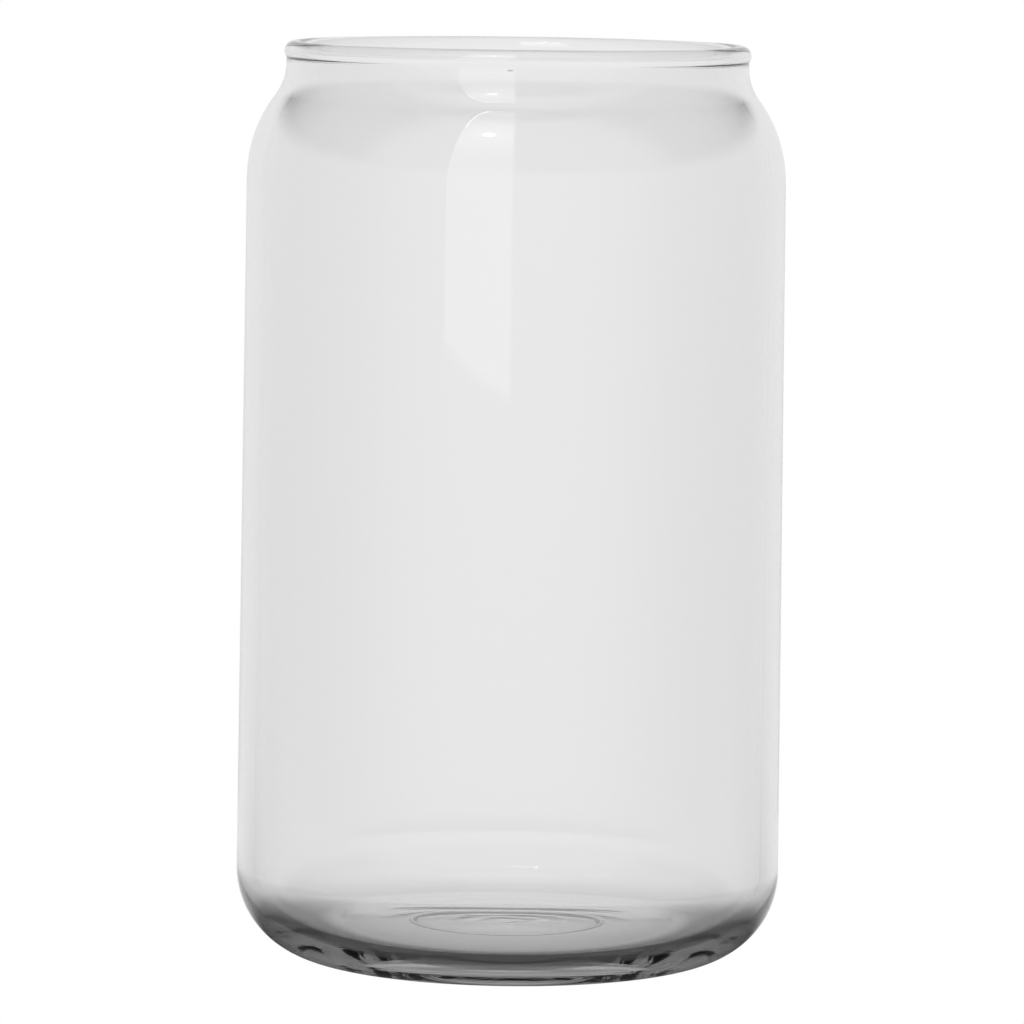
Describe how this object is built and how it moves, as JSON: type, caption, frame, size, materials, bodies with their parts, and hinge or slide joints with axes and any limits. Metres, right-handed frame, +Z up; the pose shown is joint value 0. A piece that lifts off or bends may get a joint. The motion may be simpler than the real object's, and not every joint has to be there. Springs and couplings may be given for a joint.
{
  "type": "can shaped glass",
  "caption": "Clear one-piece drinking glass shaped like a drinks can, with a rounded heel, straight body, curved shoulder, short neck and beaded rim.",
  "frame": {"origin": "on the axis of the glass, on the plane that the foot ring stands on", "axes": "+Z up along the axis, from the foot to the mouth; X and Y are free, because the glass is round"},
  "size_m": [0.0792, 0.0792, 0.1334],
  "materials": {
    "clear_glass": "clear, fire-polished, smooth on both faces"
  },
  "bodies": {
    "root": {"can_glass": "clear_glass"}
  },
  "joints": []
}
